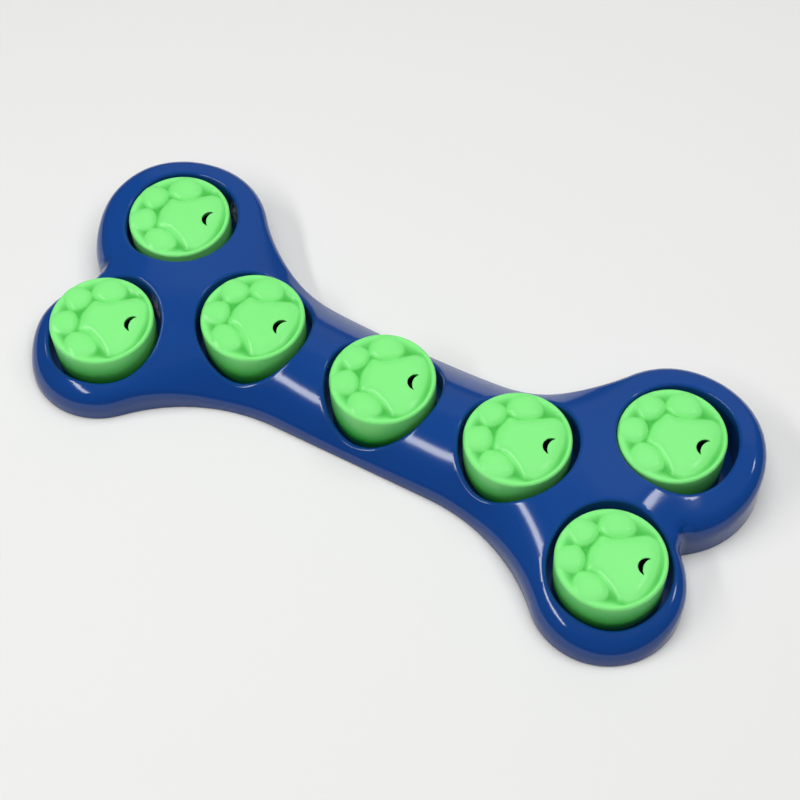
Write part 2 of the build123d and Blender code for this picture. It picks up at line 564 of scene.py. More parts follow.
class Spline:
    """A smooth curve through rows of numbers, straight at both ends."""

    def __init__(self, knots: np.ndarray, rows: np.ndarray) -> None:
        """Fit the curve.

        Args:
            knots: The rows' places, rising.
            rows: The numbers at each place.
        """
        gap = np.diff(knots)
        slope = np.diff(rows, axis=0) / gap[:, None]
        system = np.eye(len(knots))
        target = np.zeros_like(rows)
        for k in range(1, len(knots) - 1):
            system[k, k - 1 : k + 2] = gap[k - 1], 2 * (gap[k - 1] + gap[k]), gap[k]
            target[k] = 6 * (slope[k] - slope[k - 1])
        self.knots = knots
        self.rows = rows
        self.bends = np.linalg.solve(system, target)

    def at(self, place: np.ndarray) -> np.ndarray:
        """Give the curve's numbers at some places."""
        k = np.clip(np.searchsorted(self.knots, place) - 1, 0, len(self.knots) - 2)
        gap = (self.knots[k + 1] - self.knots[k])[..., None]
        low = (self.knots[k + 1] - place)[..., None] / gap
        high = 1 - low
        bend = (low**3 - low) * self.bends[k] + (high**3 - high) * self.bends[k + 1]
        return low * self.rows[k] + high * self.rows[k + 1] + bend * gap**2 / 6


# --------------------------------------------------------------------------------------------
# The board
# --------------------------------------------------------------------------------------------


@dataclass
class BoneOutline:
    """The board's outline: large rear lobes, small front lobes, end notches and a waist."""

    rear_lobe: tuple[float, float] = (154.2, 35.8)
    rear_radius: float = 50.4
    front_lobe: tuple[float, float] = (156.8, -45.4)
    front_radius: float = 40.8
    notch_radius: float = 6.0
    rear_flare: float = 80.0
    front_flare: float = 108.0
    waist: float = 39.6
    pitch: float = 1.2

    def samples(self) -> tuple[np.ndarray, np.ndarray]:
        """Go once round the outline, clockwise as seen from above.

        Returns:
            The points on it, and the unit vectors that point inwards from them.
        """
        rear = np.array(self.rear_lobe)
        front = np.array(self.front_lobe)
        rear_flare = self._flare_centre(rear, self.rear_radius, self.rear_flare)
        front_flare = self._flare_centre(front, self.front_radius, self.front_flare)
        notch = self._notch_centre(rear, front)
        start = np.array([rear_flare[0], self.waist])
        end = np.array([front_flare[0], -self.waist])
        first = self._between(rear, rear_flare, self.rear_radius)
        second = self._between(rear, notch, self.rear_radius)
        third = self._between(front, notch, self.front_radius)
        fourth = self._between(front, front_flare, self.front_radius)
        parts = [
            self._run(np.array([0.0, self.waist]), start),
            self._arc(rear_flare, start, first, 1),
            self._arc(rear, first, second, -1),
            self._arc(notch, second, third, 1),
            self._arc(front, third, fourth, -1),
            self._arc(front_flare, fourth, end, 1),
            self._run(end, np.array([0.0, -self.waist])),
        ]
        right = np.concatenate([points for points, ways in parts])
        inward = np.concatenate([ways for points, ways in parts])
        right[:, 0] = np.maximum(right[:, 0], 0.0)
        flip = np.array([-1.0, 1.0])
        closing = np.array([[0.0, -self.waist]])
        points = np.concatenate([right, closing, right[:0:-1] * flip])
        ways = np.concatenate([inward, [[0.0, 1.0]], inward[:0:-1] * flip])
        return points, ways

    def _flare_centre(self, lobe: np.ndarray, lobe_radius: float, radius: float) -> np.ndarray:
        """Find the centre of the hollow curve from a lobe to the waist.

        Args:
            lobe: The lobe's centre.
            lobe_radius: The lobe's radius.
            radius: The hollow curve's radius.

        Returns:
            The centre.
        """
        height = self.waist + radius
        run = math.sqrt((lobe_radius + radius) ** 2 - (height - abs(lobe[1])) ** 2)
        return np.array([lobe[0] - run, math.copysign(height, lobe[1])])

    def _notch_centre(self, rear: np.ndarray, front: np.ndarray) -> np.ndarray:
        """Find the centre of the small curve between two lobes.

        Args:
            rear: The rear lobe's centre.
            front: The front lobe's centre.

        Returns:
            The centre.
        """
        gap = float(np.linalg.norm(front - rear))
        way = (front - rear) / gap
        reach = self.rear_radius + self.notch_radius
        far_reach = self.front_radius + self.notch_radius
        along = (reach**2 - far_reach**2 + gap**2) / (2 * gap)
        side = np.array([-way[1], way[0]])
        return rear + way * along + side * math.sqrt(reach**2 - along**2)

    @staticmethod
    def _between(lobe: np.ndarray, other: np.ndarray, radius: float) -> np.ndarray:
        """Give the point at a lobe's radius on the way to another centre."""
        return lobe + (other - lobe) / np.linalg.norm(other - lobe) * radius

    def _run(self, start: np.ndarray, end: np.ndarray) -> tuple[np.ndarray, np.ndarray]:
        """Sample a straight stretch, without its end.

        Args:
            start: Its first point.
            end: Its last point.

        Returns:
            Points and inward unit vectors.
        """
        length = float(np.linalg.norm(end - start))
        count = max(2, round(length / self.pitch))
        share = (np.arange(count) / count)[:, None]
        way = (end - start) / length
        return start + share * (end - start), np.tile([way[1], -way[0]], (count, 1))

    def _arc(
        self, centre: np.ndarray, start: np.ndarray, end: np.ndarray, turn: int
    ) -> tuple[np.ndarray, np.ndarray]:
        """Sample an arc, without its end.

        Args:
            centre: The arc's centre.
            start: Its first point.
            end: Its last point.
            turn: 1 for an arc that turns left, -1 for one that turns right.

        Returns:
            Points and inward unit vectors.
        """
        radius = float(np.linalg.norm(start - centre))
        first = math.atan2(start[1] - centre[1], start[0] - centre[0])
        last = math.atan2(end[1] - centre[1], end[0] - centre[0])
        sweep = (turn * (last - first)) % (2 * math.pi)
        count = max(10, round(sweep * radius / self.pitch))
        angle = first + turn * sweep * np.arange(count) / count
        out = np.stack([np.cos(angle), np.sin(angle)], axis=1)
        return centre + radius * out, turn * out


@dataclass(frozen=True)
class Arch:
    """A cross-section of the board's crown: its place, half span and five Bezier heights."""

    x: float
    span: float
    heights: tuple[float, float, float, float, float]


def even_arch(x: float, span: float, crown: float, edge: float) -> Arch:
    """Make a parabolic arch that is the same at the front and the rear.

    Args:
        x: Its distance from the middle.
        span: Its half span.
        crown: Its height in the middle.
        edge: Its height at the ends.

    Returns:
        The arch.
    """
    return Arch(x, span, (edge, crown, (4 * crown - edge) / 3, crown, edge))


@dataclass
class Crown:
    """The arched top of the board, as a height over each place.

    Above its flat start the height levels off softly, and it stays under its flat top.
    """

    arches: tuple[Arch, ...] = (
        even_arch(0.0, 41.0, 28.0, 3.5),
        even_arch(45.0, 42.0, 29.8, 4.0),
        Arch(82.5, 49.0, (3.0, 31.5, 41.0, 32.5, 11.5)),
        Arch(120.0, 75.0, (7.0, 37.5, 35.5, 34.5, 29.0)),
        Arch(155.0, 92.0, (11.5, 30.5, 41.5, 33.0, 31.0)),
        Arch(185.0, 92.0, (-2.0, 45.0, -6.0, 56.0, 24.0)),
        Arch(207.0, 92.0, (-4.0, 56.0, -22.0, 67.0, 16.0)),
    )
    flat_start: float = 33.6
    flat_top: float = 35.05
    curve: Spline = field(init=False)

    def __post_init__(self) -> None:
        """Fit the spline through the arches and their mirror images."""
        half = [(arch.x, arch.span, *arch.heights) for arch in self.arches]
        mirrored = [(-row[0], *row[1:]) for row in reversed(half[1:])]
        rows = np.array([*mirrored, *half])
        self.curve = Spline(rows[:, 0], rows[:, 1:])

    def height(self, x: np.ndarray, y: np.ndarray) -> np.ndarray:
        """Give the crown's height over places.

        Args:
            x: Their places along the bone.
            y: Their places across it.

        Returns:
            The heights.
        """
        rows = self.curve.at(x)
        t = np.clip(0.5 * (y / rows[..., 0] + 1), 0, 1)
        total = np.zeros_like(t)
        for k in range(5):
            total += math.comb(4, k) * t**k * (1 - t) ** (4 - k) * rows[..., k + 1]
        room = self.flat_top - self.flat_start
        excess = np.maximum(total - self.flat_start, 0.0)
        return total - excess + room * (1 - np.exp(-excess / room))

    def over(self, places: np.ndarray) -> np.ndarray:
        """Give the crown's heights over rows of (x, y)."""
        return self.height(places[..., 0], places[..., 1])


@dataclass
class Board:
    """The bone-shaped board: a moulding with a rounded edge, seven wells and an open underside.

    Its edge is rounder where the outline faces the front, and rounder still there on the lobes.
    The front start and run are values of the inward way's Y, the lobe start and run of X.
    """

    base: float = 0.8
    rear_round: float = 8.0
    front_round: float = 11.3
    lobe_round: float = 15.0
    front_start: float = -0.1
    front_run: float = 0.8
    lobe_start: float = 100.0
    lobe_run: float = 45.0
    lip_round: float = 1.8
    well_radius: float = 32.3
    well_floor: float = 3.4
    shaft_well: float = 82.5
    lobe_well: tuple[float, float] = (155.6, 40.5)
    pitch: float = 2.0
    edge_steps: int = 8
    steep_angle: float = 14.0
    steep_steps: int = 2
    roll_steps: int = 24
    lip_steps: int = 6
    lip_points: int = 192
    slope_reach: float = 0.4
    underside_gap: float = 2.0
    well_gap: float = 0.5
    edge_gap: float = 0.6
    weld_gap: float = 0.01
    same_facing: float = 0.5
    sharp_angle: float = 35.0
    batch: int = 512
    outline: BoneOutline = field(default_factory=BoneOutline)
    crown: Crown = field(default_factory=Crown)

    def wells(self) -> np.ndarray:
        """Give the wells' centres."""
        x, y = self.lobe_well
        shaft = [(0.0, 0.0), (-self.shaft_well, 0.0), (self.shaft_well, 0.0)]
        return np.array(shaft + [(sx * x, sy * y) for sx in (-1, 1) for sy in (-1, 1)])

    def build(self, material: bpy.types.Material) -> bpy.types.Object:
        """Build the board.

        Args:
            material: Its plastic.

        Returns:
            The board's object, which stands for the tray node.
        """
        skin = Skin()
        rim, rim_flat, free = self._edge(skin)
        loops, places = [rim], [rim_flat]
        for centre in self.wells():
            ring, ring_flat = self._well(skin, centre)
            loops.append(ring)
            places.append(ring_flat)
        free = np.concatenate([free, self._grid(rim_flat)])
        free = free[inside_loops(free, places) & (nearest(free, places[1:]) > self.well_gap)]
        inner = skin.put(np.column_stack([free, self.surface(free)]))
        ends = np.cumsum([len(loop) for loop in loops])
        starts = ends - [len(loop) for loop in loops]
        skin.sheet(
            np.concatenate([*loops, inner]),
            np.concatenate([*places, free]),
            [np.arange(a, b) for a, b in zip(starts, ends)],
        )
        mesh = skin.mesh("board_skin")
        self._add_underside(mesh)
        board = new_object(mesh, "board_moulding", material, self.sharp_angle)
        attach(board, "board")
        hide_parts("tray")
        return board

    def __post_init__(self) -> None:
        """Roll a ball along the board's edge, for the rounding between its wall and its crown."""
        self.foot, self.way = self.outline.samples()
        front = smooth_step((self.way[:, 1] - self.front_start) / self.front_run)
        lobe = smooth_step((np.abs(self.foot[:, 0]) - self.lobe_start) / self.lobe_run)
        rounder = self.front_round + lobe * (self.lobe_round - self.front_round)
        self.edge_round = self.rear_round + front * (rounder - self.rear_round)
        slope, self.inset = self._roll(self.foot, self.way, self.edge_round, self.crown.over)
        touch = self.foot + self.way * self.inset[:, None]
        self.axis_height = self.crown.over(touch) - self.edge_round / np.sqrt(1 + slope**2)
        self.opening = np.arctan2(1, slope)

    def surface(self, places: np.ndarray) -> np.ndarray:
        """Give the height of the board's top, with its rounded edge, over places.

        Args:
            places: Rows of (x, y).

        Returns:
            The heights.
        """
        inset, axis_height, limit, radius = self._edge_frame(places)
        drop = np.clip(radius - inset, 0, radius)
        rounded = axis_height + np.sqrt(radius**2 - drop**2)
        return np.where(inset < limit, rounded, self.crown.over(places))

    def _edge_frame(self, places: np.ndarray) -> tuple[np.ndarray, ...]:
        """Find the edge beside places.

        Args:
            places: Rows of (x, y).

        Returns:
            Each place's distance from the outline, and there the height of the rounding's axis,
            the distance at which the rounding meets the crown, and the rounding's radius.
        """
        closest = np.empty(len(places), int)
        for start in range(0, len(places), self.batch):
            some = slice(start, start + self.batch)
            apart = places[some, None, :] - self.foot[None]
            closest[some] = (apart**2).sum(axis=2).argmin(axis=1)
        ahead = np.roll(self.foot, -1, axis=0) - self.foot
        best = np.full(len(places), np.inf)
        height, limit, radius = (np.zeros(len(places)) for _ in range(3))
        frames = ((self.axis_height, height), (self.inset, limit), (self.edge_round, radius))
        for first in ((closest - 1) % len(self.foot), closest):
            second = (first + 1) % len(self.foot)
            offset = places - self.foot[first]
            share = (offset * ahead[first]).sum(axis=1) / (ahead[first] ** 2).sum(axis=1)
            share = np.clip(share, 0, 1)
            apart = np.linalg.norm(offset - share[:, None] * ahead[first], axis=1)
            better = apart < best
            best = np.where(better, apart, best)
            for values, into in frames:
                mixed = (1 - share) * values[first] + share * values[second]
                into[better] = mixed[better]
        return best, height, limit, radius

    def _roll(
        self,
        foot: np.ndarray,
        way: np.ndarray,
        radius: float | np.ndarray,
        height: Callable[[np.ndarray], np.ndarray],
    ) -> tuple[np.ndarray, np.ndarray]:
        """Roll a ball between a standing wall and the surface above it.

        Args:
            foot: Points along the wall, seen from above.
            way: Unit vectors from the wall towards the surface.
            radius: The ball's radius, or its radius at each point.
            height: The surface's height over places.

        Returns:
            The surface's slope where the ball touches it, and the touch's distance from the wall.
        """
        reach = np.zeros(len(foot)) + radius
        slope = np.zeros(len(foot))
        for _ in range(self.roll_steps):
            ahead = height(foot + way * (reach + self.slope_reach)[:, None])
            behind = height(foot + way * (reach - self.slope_reach)[:, None])
            slope = (ahead - behind) / (2 * self.slope_reach)
            reach = 0.5 * (reach + radius * (1 - slope / np.sqrt(1 + slope**2)))
        return slope, reach

    def _edge(self, skin: Skin) -> tuple[np.ndarray, np.ndarray, np.ndarray]:
        """Make the steep foot of the board's rounded edge and its outer wall.

        Args:
            skin: The mesh in the making.

        Returns:
            The point numbers of the top ring, its (x, y), and the (x, y) of the free points
            that the rest of the rounding needs.
        """
        steep = np.minimum(math.radians(self.steep_angle), 0.5 * self.opening)
        rings = []
        for step in range(self.steep_steps + 1):
            angle = steep * (1 - step / self.steep_steps)
            place = self.foot + self.way * (self.edge_round * (1 - np.cos(angle)))[:, None]
            level = self.axis_height + self.edge_round * np.sin(angle)
            rings.append(np.column_stack([place, level]))
        low = rings[-1][:, 2]
        for share in (0.5, 1.0):
            rings.append(np.column_stack([self.foot, low + share * (self.base - low)]))
        numbers = [skin.put(ring) for ring in rings]
        skin.ring_strip(numbers)
        free = []
        for step in range(1, self.edge_steps + 1):
            angle = steep + (self.opening - steep) * step / self.edge_steps
            free.append(self.foot + self.way * (self.edge_round * (1 - np.cos(angle)))[:, None])
        return numbers[0], rings[0][:, :2], np.concatenate(free)

    def _well(self, skin: Skin, centre: np.ndarray) -> tuple[np.ndarray, np.ndarray]:
        """Make a well: its rounded lip, its wall and its floor.

        Args:
            skin: The mesh in the making.
            centre: The well's centre.

        Returns:
            The point numbers of the ring where the lip meets the top, and its (x, y).
        """
        turn = 2 * math.pi * np.arange(self.lip_points) / self.lip_points
        way = np.stack([np.cos(turn), np.sin(turn)], axis=1)
        foot = centre + self.well_radius * way
        slope, reach = self._roll(foot, way, self.lip_round, self.surface)
        touch = foot + way * reach[:, None]
        axis_height = self.surface(touch) - self.lip_round / np.sqrt(1 + slope**2)
        rings = []
        for step in range(self.lip_steps + 1):
            angle = np.arctan2(1, slope) * (1 - step / self.lip_steps)
            place = foot + way * (self.lip_round * (1 - np.cos(angle)))[:, None]
            rings.append(np.column_stack([place, axis_height + self.lip_round * np.sin(angle)]))
        low = rings[-1][:, 2]
        for share in (0.5, 1.0):
            rings.append(np.column_stack([foot, low + share * (self.well_floor - low)]))
        numbers = [skin.put(ring) for ring in rings]
        skin.ring_strip(numbers)
        skin.faces.append(tuple(numbers[-1].tolist()))
        return numbers[0], rings[0][:, :2]

    def _grid(self, border: np.ndarray) -> np.ndarray:
        """Make the grid of points over the crown, clear of the rounded edge.

        Args:
            border: The closed loop round the region.

        Returns:
            Rows of (x, y).
        """
        reach = np.abs(border).max(axis=0)
        grid = hex_grid(reach[0], reach[1], self.pitch)
        grid = grid[inside_loops(grid, [border])]
        inset, _, limit, _ = self._edge_frame(grid)
        return grid[inset > limit + self.edge_gap * self.pitch]

    def _add_underside(self, mesh: bpy.types.Mesh) -> None:
        """Close the board with the underside of its solid: base, cups, ribs and foot seats.

        Args:
            mesh: The skin's mesh, which gets the faces.
        """
        joined = bmesh.new()
        joined.from_mesh(mesh)
        skin_tree = BVHTree.FromBMesh(joined)
        solid = bmesh.new()
        solid.from_mesh(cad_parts["tray"].data)
        bmesh.ops.remove_doubles(solid, verts=solid.verts, dist=self.weld_gap * MM)
        solid.normal_update()
        outer = []
        for face in solid.faces:
            normal, apart = skin_tree.find_nearest(face.calc_center_median())[1::2]
            same_side = normal.dot(face.normal) > self.same_facing
            if apart < self.underside_gap * MM and same_side:
                outer.append(face)
        bmesh.ops.delete(solid, geom=outer, context="FACES")
        rest = bpy.data.meshes.new("board_underside")
        solid.to_mesh(rest)
        joined.from_mesh(rest)
        joined.to_mesh(mesh)
        joined.free()
        solid.free()
        bpy.data.meshes.remove(rest)


# --------------------------------------------------------------------------------------------
# The lids
# --------------------------------------------------------------------------------------------


@dataclass(frozen=True)
class Toe:
    """A domed toe on the paw's rear half, in millimetres; its mirror image makes the pair."""

    top: tuple[float, float]
    turn: float
    half_length: float
    inner: float
    outer: float

    def off_top(self, x: Term, side: Term) -> Term:
        """Write how far a place lies off the toe's top.

        Args:
            x: The place along the paw.
            side: Its distance from the paw's middle line.

        Returns:
            The square of the distance, which is 0 at the top and 1 at the toe's foot.
        """
        cos, sin = math.cos(math.radians(self.turn)), math.sin(math.radians(self.turn))
        ahead, aside = x - self.top[0], side - self.top[1]
        along = (ahead * cos + aside * sin) / self.half_length
        out = aside * cos - ahead * sin
        across = out.most(0.0) / self.outer + out.least(0.0) / self.inner
        return along * along + across * across


@dataclass(frozen=True)
class Paw:
    """The paw in relief on a lid, in millimetres, with its toes towards -X."""

    height: float = 1.9
    swell: float = 3.3
    bulge: float = 1.6
    valley: float = 1.6
    toes: tuple[Toe, ...] = (
        Toe(top=(-3.6, 18.2), turn=18.0, half_length=10.8, inner=7.4, outer=11.2),
        Toe(top=(-17.4, 7.9), turn=65.8, half_length=8.9, inner=6.8, outer=13.2),
    )
    pad: tuple[tuple[float, float], ...] = (
        (-12.6, 0.0),
        (-11.4, 6.0),
        (-9.6, 11.0),
        (-3.7, 11.9),
        (2.2, 15.0),
        (8.0, 18.6),
        (13.5, 21.2),
        (19.8, 19.2),
        (24.2, 11.0),
        (25.4, 0.0),
    )
    pad_edge: float = 6.8
    heel_edge: float = 10.0
    heel_start: float = 8.0
    heel_run: float = 8.0
    crease: float = 0.12
    blend: float = 0.6
    ring_level: float = 0.15
    ring_foot: tuple[float, float] = (21.5, 25.1)
    ring_top: tuple[float, float] = (27.4, 27.4)
    softening: float = 0.01
    batch: int = 32

    def pad_outline(self, steps: int = 16) -> np.ndarray:
        """Draw a smooth closed curve through the pad's corners and their mirror images.

        Args:
            steps: The number of points from one corner to the next.

        Returns:
            Rows of (x, y).
        """
        half = np.array(self.pad)
        corners = np.concatenate([half, half[-2:0:-1] * np.array([1.0, -1.0])])
        before, after = np.roll(corners, 1, axis=0), np.roll(corners, -1, axis=0)
        way = 0.5 * (after - before)
        far_way = np.roll(way, -1, axis=0)
        t = (np.arange(steps) / steps)[None, :, None]
        start, end = corners[:, None], after[:, None]
        curve = (2 * t**3 - 3 * t**2 + 1) * start + (3 * t**2 - 2 * t**3) * end
        curve = curve + (t**3 - 2 * t**2 + t) * way[:, None] + (t**3 - t**2) * far_way[:, None]
        return curve.reshape(-1, 2)

    def pad_inset(self, places: np.ndarray) -> np.ndarray:
        """Give how far places lie inside the pad, smoothly also beside its corners.

        Args:
            places: Rows of (x, y).

        Returns:
            The depths, which are less than 0 outside the pad.
        """
        outline = self.pad_outline()
        ahead = np.roll(outline, -1, axis=0)
        middle = 0.5 * (outline + ahead)
        length = np.linalg.norm(ahead - outline, axis=1)
        total = np.zeros(len(places))
        for start in range(0, len(middle), self.batch):
            some = slice(start, start + self.batch)
            apart = ((places[:, None, :] - middle[None, some]) ** 2).sum(axis=2)
            total += (length[some] / (apart + self.softening) ** 3).sum(axis=1)
        # A long straight edge at a depth d gives a total of 0.375 * pi / d**5.
        depth = (total / (0.375 * math.pi)) ** -0.2
        return np.where(inside_loops(places, [outline]), depth, -depth)


@dataclass(frozen=True)
class Rest:
    """How far a lid has turned in its well. Its place is that of its node."""

    name: str
    turn: float


@dataclass
class Lids:
    """The seven loose lids: upturned hollow cups with a paw in relief and a finger slot."""

    radius: float = 29.0
    height: float = 30.0
    wall: float = 2.2
    top: float = 2.4
    rim_round: float = 1.5
    foot_round: float = 0.5
    foot_bevel: float = 0.3
    pitch: float = 0.42
    clear_share: float = 0.6
    sharp_angle: float = 48.0
    rim_points: int = 288
    rim_steps: int = 8
    slot_points: int = 72
    slot_bevel: float = 0.3
    slot_flare: float = 1.4
    slot_tips: tuple[float, float, float] = (18.6, 7.1, -2.9)
    slot_outer: float = 13.7
    slot_inner: float = 16.5
    paw: Paw = field(default_factory=Paw)
    rests: tuple[Rest, ...] = (
        Rest("lid_center", 10.9),
        Rest("lid_left_inner", -4.9),
        Rest("lid_right_inner", 3.7),
        Rest("lid_left_rear", 10.4),
        Rest("lid_left_front", 8.8),
        Rest("lid_right_rear", -6.0),
        Rest("lid_right_front", 4.5),
    )

    def build(self, material: bpy.types.Material) -> list[bpy.types.Object]:
        """Build all seven lids from one blank.

        Args:
            material: Their plastic.

        Returns:
            The lids' objects, each of which stands for its node.
        """
        blank = self._blank()
        tree = self._relief_tree()
        made = []
        for rest in self.rests:
            low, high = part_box(rest.name)
            middle = 0.5 * (low + high)
            mesh = self._press(blank, tree, material, rest, Vector((middle.x, middle.y, low.z)))
            lid = new_object(mesh, f"{rest.name}_moulding", material, self.sharp_angle)
            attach(lid, f"{rest.name}_body")
            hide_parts(rest.name)
            LOG.info("built %s: %d faces", lid.name, len(mesh.polygons))
            made.append(lid)
        bpy.data.meshes.remove(blank)
        return made

    def _slot_outline(self, grow: float) -> np.ndarray:
        """Give the crescent of the finger slot, anticlockwise.

        Args:
            grow: How far the outline is moved outwards.

        Returns:
            Rows of (x, y).
        """
        tip_x, high, low = self.slot_tips
        half = 0.5 * (high - low)
        sides = []
        for reach in (tip_x - self.slot_outer, tip_x - self.slot_inner):
            radius = (half**2 + reach**2) / (2 * reach)
            sweep = math.atan2(half, radius - reach)
            count = self.slot_points // 2
            turn = sweep * (1 - 2 * np.arange(count) / count)
            x = tip_x - reach + radius * (1 - np.cos(turn))
            sides.append(np.stack([x, 0.5 * (high + low) + radius * np.sin(turn)], axis=1))
        last = np.array([[tip_x, low]])
        inner = np.concatenate([last, sides[1][:0:-1]])
        outline = np.concatenate([sides[0], inner])
        way = np.roll(outline, -1, axis=0) - np.roll(outline, 1, axis=0)
        way = way / np.linalg.norm(way, axis=1)[:, None]
        return outline + grow * np.stack([way[:, 1], -way[:, 0]], axis=1)

    def _circle(self, radius: float, height: float) -> np.ndarray:
        """Give a ring of points, anticlockwise."""
        angle = 2 * math.pi * np.arange(self.rim_points) / self.rim_points
        x, y = radius * np.cos(angle), radius * np.sin(angle)
        return np.column_stack([x, y, np.full(self.rim_points, height)])

    def _blank(self) -> bpy.types.Mesh:
        """Make a lid with a plain top, at the origin.

        Returns:
            The mesh. Its "lift" attribute is 1 on the points that take the relief, and its
            "pad_inset" attribute tells how far they lie inside the pad.
        """
        skin = Skin()
        flat_radius = self.radius - self.rim_round
        ceiling = self.height - self.top
        profile = [(flat_radius, self.height)]
        for step in range(1, self.rim_steps + 1):
            angle = 0.5 * math.pi * step / self.rim_steps
            drop = self.rim_round * (1 - math.cos(angle))
            profile.append((flat_radius + self.rim_round * math.sin(angle), self.height - drop))
        inside = self.radius - self.wall
        profile += [
            (self.radius, 0.5 * self.height),
            (self.radius, self.foot_round),
            (self.radius - self.foot_round, 0.0),
            (inside + self.foot_bevel, 0.0),
            (inside, self.foot_bevel),
            (inside, ceiling),
        ]
        rim = [skin.put(self._circle(radius, level)) for radius, level in profile]
        skin.ring_strip([ring[::-1] for ring in rim])
        level = np.full((self.slot_points, 1), 1.0)
        mouth = self._slot_outline(self.slot_bevel)
        hole = self._slot_outline(0.0)
        top_ring = skin.put(np.hstack([mouth, self.height * level]))
        lip_ring = skin.put(np.hstack([hole, (self.height - self.slot_bevel) * level]))
        flared = self._slot_outline(self.slot_flare)
        under_ring = skin.put(np.hstack([flared, ceiling * level]))
        skin.ring_strip([top_ring, lip_ring, under_ring])
        grid = hex_grid(flat_radius, flat_radius, self.pitch)
        clear = np.hypot(*grid.T) < flat_radius - self.clear_share * self.pitch
        clear &= nearest(grid, [mouth]) > self.clear_share * self.pitch
        clear &= ~inside_loops(grid, [mouth])
        grid = grid[clear]
        inner = skin.put(np.column_stack([grid, np.full(len(grid), self.height)]))
        rim_flat = self._circle(flat_radius, 0)[:, :2]
        rim_loop = np.arange(self.rim_points)
        slot_loop = self.rim_points + np.arange(self.slot_points)
        skin.sheet(
            np.concatenate([rim[0], top_ring, inner]),
            np.concatenate([rim_flat, mouth, grid]),
            [rim_loop, slot_loop],
        )
        first_under = len(skin.faces)
        inner_flat = self._circle(inside, 0)[:, :2]
        skin.sheet(
            np.concatenate([rim[-1], under_ring]),
            np.concatenate([inner_flat, flared]),
            [rim_loop, slot_loop],
        )
        skin.faces[first_under:] = [face[::-1] for face in skin.faces[first_under:]]
        lift = np.zeros(skin.count)
        for ring in (rim[0], top_ring, lip_ring, inner):
            lift[ring] = 1.0
        for step in range(1, self.rim_steps):
            lift[rim[step]] = math.cos(0.5 * math.pi * step / self.rim_steps) ** 2
        mesh = skin.mesh("lid_blank")
        mesh.attributes.new("lift", "FLOAT", "POINT").data.foreach_set("value", lift)
        inset = self.paw.pad_inset(np.concatenate(skin.points)[:, :2])
        mesh.attributes.new("pad_inset", "FLOAT", "POINT").data.foreach_set("value", inset)
        return mesh

    def _relief_tree(self) -> bpy.types.NodeTree:
        """Write the tree that presses the paw into a blank and lays the lid in its well.

        Returns:
            The geometry node tree, with named inputs.
        """
        tree = bpy.data.node_groups.new("paw_lid", "GeometryNodeTree")
        face = tree.interface
        face.new_socket("Geometry", in_out="OUTPUT", socket_type="NodeSocketGeometry")
        face.new_socket("Geometry", in_out="INPUT", socket_type="NodeSocketGeometry")
        for name in ("Relief", "Swell", "Valley", "Pad Edge", "Turn"):
            face.new_socket(name, in_out="INPUT", socket_type="NodeSocketFloat")
        face.new_socket("Place", in_out="INPUT", socket_type="NodeSocketVector")
        face.new_socket("Plastic", in_out="INPUT", socket_type="NodeSocketMaterial")
        graph = Graph(tree)
        given = graph.add("NodeGroupInput").outputs
        place = graph.add("GeometryNodeInputPosition").outputs[0]
        across, along, _ = graph.split(place)
        x, y = across / MM, along / MM
        named = [
            graph.out("GeometryNodeInputNamedAttribute", {"data_type": "FLOAT"}, {"Name": name})
            for name in ("lift", "pad_inset")
        ]
        lift, inset = named
        names = ("Relief", "Swell", "Valley", "Pad Edge")
        relief, swell, valley, pad_edge = (Term(graph, given[name]) for name in names)
        height = self._paw_height(x, y, inset, relief, swell, valley, pad_edge)
        moved = graph.add(
            "GeometryNodeSetPosition",
            sockets={
                "Geometry": given["Geometry"],
                "Offset": graph.join(0.0, 0.0, height * lift * MM),
            },
        )
        # How deep each top point lies under the paw's top; the plastic paints shade into the
        # creases from it.
        depth = (relief - height) * lift / (relief + valley)
        marked = graph.add(
            "GeometryNodeStoreNamedAttribute",
            {"data_type": "FLOAT", "domain": "POINT"},
            {"Geometry": moved.outputs[0], "Name": MouldedPlastic.HOLLOW, "Value": depth},
        )
        laid = graph.add(
            "GeometryNodeTransform",
            sockets={
                "Geometry": marked.outputs[0],
                "Translation": given["Place"],
                "Rotation": graph.join(0.0, 0.0, Term(graph, given["Turn"])),
            },
        )
        real = graph.add("GeometryNodeRealizeInstances", sockets={0: laid.outputs[0]})
        dressed = graph.add(
            "GeometryNodeSetMaterial",
            sockets={"Geometry": real.outputs[0], "Material": given["Plastic"]},
        )
        graph.add("NodeGroupOutput", sockets={0: dressed.outputs[0]})
        return tree

    def _paw_height(
        self,
        x: Term,
        y: Term,
        inset: Term,
        relief: Term,
        swell: Term,
        valley: Term,
        pad_edge: Term,
    ) -> Term:
        """Write the height of the paw over a place on the lid.

        Args:
            x: The place along the paw, in millimetres.
            y: The place across it.
            inset: How far the place lies inside the pad.
            relief: The paw's full height over the rim.
            swell: How far the pad and the toes fall from their tops to their feet.
            valley: The depth of the creases under the rim.
            pad_edge: The width of the pad's rounded edge.

        Returns:
            The height in millimetres.
        """
        paw = self.paw
        side = abs(y)
        heel = ((x - paw.heel_start) / paw.heel_run).ease()
        edge = pad_edge + heel * (paw.heel_edge - paw.pad_edge)
        outside = (1.0 - inset / edge).most(0.0)
        form = relief - swell * outside * outside
        for toe in paw.toes:
            form = form.soft_most(relief - swell * toe.off_top(x, side) ** paw.bulge, paw.crease)
        reach = (x * x + y * y).root()
        foot = paw.ring_foot[0] + heel * (paw.ring_foot[1] - paw.ring_foot[0])
        top = paw.ring_top[0] + heel * (paw.ring_top[1] - paw.ring_top[0])
        ring = ((reach - foot) / (top - foot)).ease()
        ground = (valley + paw.ring_level) * ring - valley
        return form.soft_most(ground, paw.blend).least(relief)

